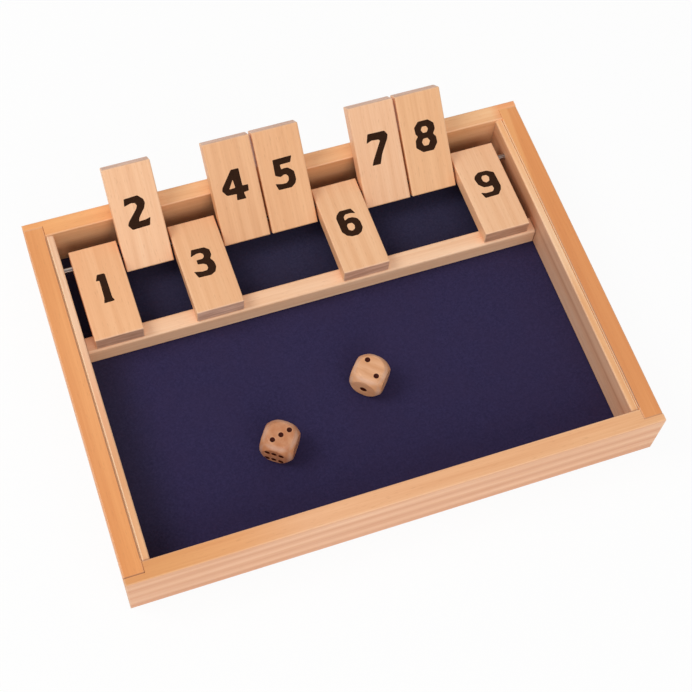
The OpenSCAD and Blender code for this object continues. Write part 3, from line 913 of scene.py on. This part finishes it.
def die_wood(tree, at_die, second, seed, early, late, fibre, patch, patch_share):
    """The colour of a die's wood, and its fibres. second is how far a spot is from the middle
    of its face. early and late are the tones of a ring, fibre and patch those of the figure."""
    figure_at = add_node(tree, "Mapping", {"Vector": at_die, "Location": (seed, *DIE_PITH),
                                           "Scale": (DIE_STRETCH, 1, 1)})
    rings = add_node(tree, "TexWave", {"Vector": figure_at, "Scale": WAVE_PERIOD / DIE_RING,
                                       "Distortion": 2.5, "Detail": 2.0, "Detail Scale": 0.8},
                     out="Fac", wave_type="RINGS", rings_direction="X", wave_profile="SIN")
    ring_share = add_node(tree, "MapRange", (rings, 0.1, 0.95, 0, DIE_RING_SHARE))
    colour = add_node(tree, "Mix", (ring_share, linear(early), linear(late)), data_type="RGBA")
    fibres = add_node(tree, "TexNoise", {"Vector": figure_at, "Scale": 1 / DIE_FIBRE, "Detail": 3.0},
                      out="Fac")
    fibre_share = add_node(tree, "MapRange", (fibres, 0.5, 0.72, 0, DIE_FIBRE_SHARE))
    colour = add_node(tree, "Mix", (fibre_share, colour, linear(fibre)), data_type="RGBA")
    patches_at = add_node(tree, "Mapping", {"Vector": at_die, "Location": (seed, 0, 0),
                                            "Scale": (MOTTLE_STRETCH, 1, 1)})
    patches = add_node(tree, "TexNoise", {"Vector": patches_at, "Scale": 1 / MOTTLE_WIDTH,
                                          "Detail": 2.0}, out="Fac")
    mottled = add_node(tree, "MapRange", (patches, 0.36, 0.66, 0, patch_share))
    colour = add_node(tree, "Mix", (mottled, colour, linear(patch)), data_type="RGBA")
    # Painted highlight: the rounded edges are lightened.
    painted_edge_highlight = add_node(tree, "MapRange", (second, EDGE_HIGHLIGHT_START, EDGE_HIGHLIGHT_FULL, 0, EDGE_HIGHLIGHT_SHARE))
    colour = add_node(tree, "Mix", (painted_edge_highlight, colour, linear(EDGE_HIGHLIGHT_TONE)), data_type="RGBA")
    return colour, fibres


# %% [markdown]
# A spot on a die's face is highest along one of its axes. That height says how deep the spot
# is sunk, and the second highest says how far it is from the middle of the face. The paint
# needs all three: it is sunk below the flat, well inside the face, and below the ball that
# rounds the corners.

# %% Dice paint
PAINT_REACH = 5.8 * MM
PAINT_DEPTH = 0.10 * MM
PAINT_RIM = 0.03 * MM
PAINT_BLUR = 0.05 * MM
PAINT_TONE = "#3A0E03"
WAX_COAT = 0.5


def painted_die_wood(name, axes, seed, *tones):
    """Waxed wood with painted pips, in the die's own axes. tones goes on to die_wood."""
    material, tree = new_material(name)
    place = add_node(tree, "TexCoord", out="Object")
    at_die = add_node(tree, "Mapping", {"Vector": place, "Location": axes.translation,
                                        "Rotation": axes.to_euler()}, vector_type="TEXTURE")
    sides = add_node(tree, "SeparateXYZ", [at_die]).node.outputs
    x, y, z = [add_node(tree, "Math", [side], operation="ABSOLUTE") for side in sides]
    larger = add_node(tree, "Math", (x, y), operation="MAXIMUM")
    smaller = add_node(tree, "Math", (x, y), operation="MINIMUM")
    highest = add_node(tree, "Math", (larger, z), operation="MAXIMUM")
    lower = add_node(tree, "Math", (larger, z), operation="MINIMUM")
    second = add_node(tree, "Math", (smaller, lower), operation="MAXIMUM")
    colour, fibres = die_wood(tree, at_die, second, seed, *tones)

    flat = DIE_HALF - PAINT_DEPTH
    ball = DIE_BALL - PAINT_DEPTH
    from_middle = add_node(tree, "VectorMath", [at_die], operation="LENGTH")
    sunk = add_node(tree, "MapRange", (highest, flat - PAINT_RIM, flat, 1, 0))
    inside = add_node(tree, "MapRange", (second, PAINT_REACH, PAINT_REACH + PAINT_BLUR, 1, 0))
    below_ball = add_node(tree, "MapRange", (from_middle, ball - 2 * PAINT_RIM, ball, 1, 0))
    paint = add_node(tree, "Math", (sunk, inside), operation="MULTIPLY")
    paint = add_node(tree, "Math", (paint, below_ball), operation="MULTIPLY")
    colour = add_node(tree, "Mix", (paint, colour, linear(PAINT_TONE)), data_type="RGBA")
    waxed = add_node(tree, "MapRange", (paint, 0, 1, WAX_COAT, 0))
    bump = add_node(tree, "Bump", {"Height": fibres, "Strength": 0.15, "Distance": 0.05 * MM})
    shader = add_node(tree, "BsdfPrincipled", {"Base Color": colour, "Roughness": 0.5,
                                               "Specular IOR Level": 0.1, "Coat Weight": waxed,
                                               "Coat Roughness": 0.28, "Normal": bump})
    add_node(tree, "OutputMaterial", {"Surface": shader})
    return material


# %% [markdown]
# Each copy of the die is turned as it fell: first rolled onto the face that shows, then
# turned on the felt. The left one is darker and more mottled.

# %% The two dice
# how far each die is turned on the felt, and how it was rolled, in degrees
DIE_TURNS = {"die_left": (-36, (0, -90, -90)), "die_right": (-42, (-90, 0, 180))}
DIE_TONES = {"die_left": ("#D59A73", "#C5855E", "#B06C48", "#B4642E", 0.42),
             "die_right": ("#EFB78D", "#DDA074", "#C98A60", "#CC8448", 0.36)}
DIE_SEEDS = {"die_left": 0.3, "die_right": 0.47}
for node_name, (turn, roll) in DIE_TURNS.items():
    axes = Matrix.Translation(middle_and_half(node_name)[0]) @ turned((0, 0, turn)) @ turned(roll)
    waxed_wood = painted_die_wood(f"waxed_{node_name}", axes, DIE_SEEDS[node_name],
                                  *DIE_TONES[node_name])
    mesh = die.data.copy()
    mesh.transform(axes)
    mesh.materials.clear()
    mesh.materials.append(waxed_wood)
    tumbled = bpy.data.objects.new(f"tumbled_{node_name}", mesh)
    bpy.context.scene.collection.objects.link(tumbled)
    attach(tumbled, f"{node_name}_body")
    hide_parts(node_name)
bpy.data.objects.remove(die)
print("dice:", len(DIE_TURNS))

# %% [markdown]
# The rod is drawn steel wire. Drawing leaves fine lines along it, which blur its
# reflections across, so it is a metal with a middling roughness that changes round it. Real
# lines are hair fine, so they are drawn wider to show, and their light and dark tones are
# strong, partly as painted reflection. The rod is bright at its two open ends. Between the
# tiles it is painted dark brown as painted shade.

# %% Rod
DRAW_LINE = 0.6 * MM
ROD_SHADE_FULL = 119 * MM
ROD_SHADE_END = 121 * MM
ROD_SHADE_SHARE = 0.9
LINE_STRETCH = 0.02
steel, tree = new_material("drawn_steel")
place = add_node(tree, "TexCoord", out="Object")
lines_at = add_node(tree, "Mapping", {"Vector": place, "Scale": (LINE_STRETCH, 1, 1)})
draw_lines = add_node(tree, "TexNoise", {"Vector": lines_at, "Scale": 1 / DRAW_LINE, "Detail": 2.0},
                      out="Fac")
# Partly painted reflection: the lines' light and dark tones are strong, like bright and dark reflected
# bands.
line_and_reflection_share = add_node(tree, "MapRange", (draw_lines, 0.35, 0.65))
steel_colour = add_node(tree, "Mix", (line_and_reflection_share, linear("#4A3A34"), linear("#CFC8C3")),
                        data_type="RGBA")
along_rod = add_node(tree, "SeparateXYZ", [place], out="X")
from_middle = add_node(tree, "Math", [along_rod], operation="ABSOLUTE")
# Painted shade: the rod darkens to brown between the tiles.
rod_painted_shade = add_node(tree, "MapRange", (from_middle, ROD_SHADE_FULL, ROD_SHADE_END, ROD_SHADE_SHARE, 0))
steel_colour = add_node(tree, "Mix", (rod_painted_shade, steel_colour, linear("#2A1A12")), data_type="RGBA")
drawn_gloss = add_node(tree, "MapRange", (draw_lines, *NOISE_RANGE, 0.30, 0.42))
rod_bump = add_node(tree, "Bump", {"Height": draw_lines, "Strength": 0.3, "Distance": 0.02 * MM})
shader = add_node(tree, "BsdfPrincipled", {"Base Color": steel_colour, "Metallic": 1.0,
                                           "Roughness": drawn_gloss, "Normal": rod_bump})
add_node(tree, "OutputMaterial", {"Surface": shader})
dress("axle_rod", steel)
print("rod dressed")
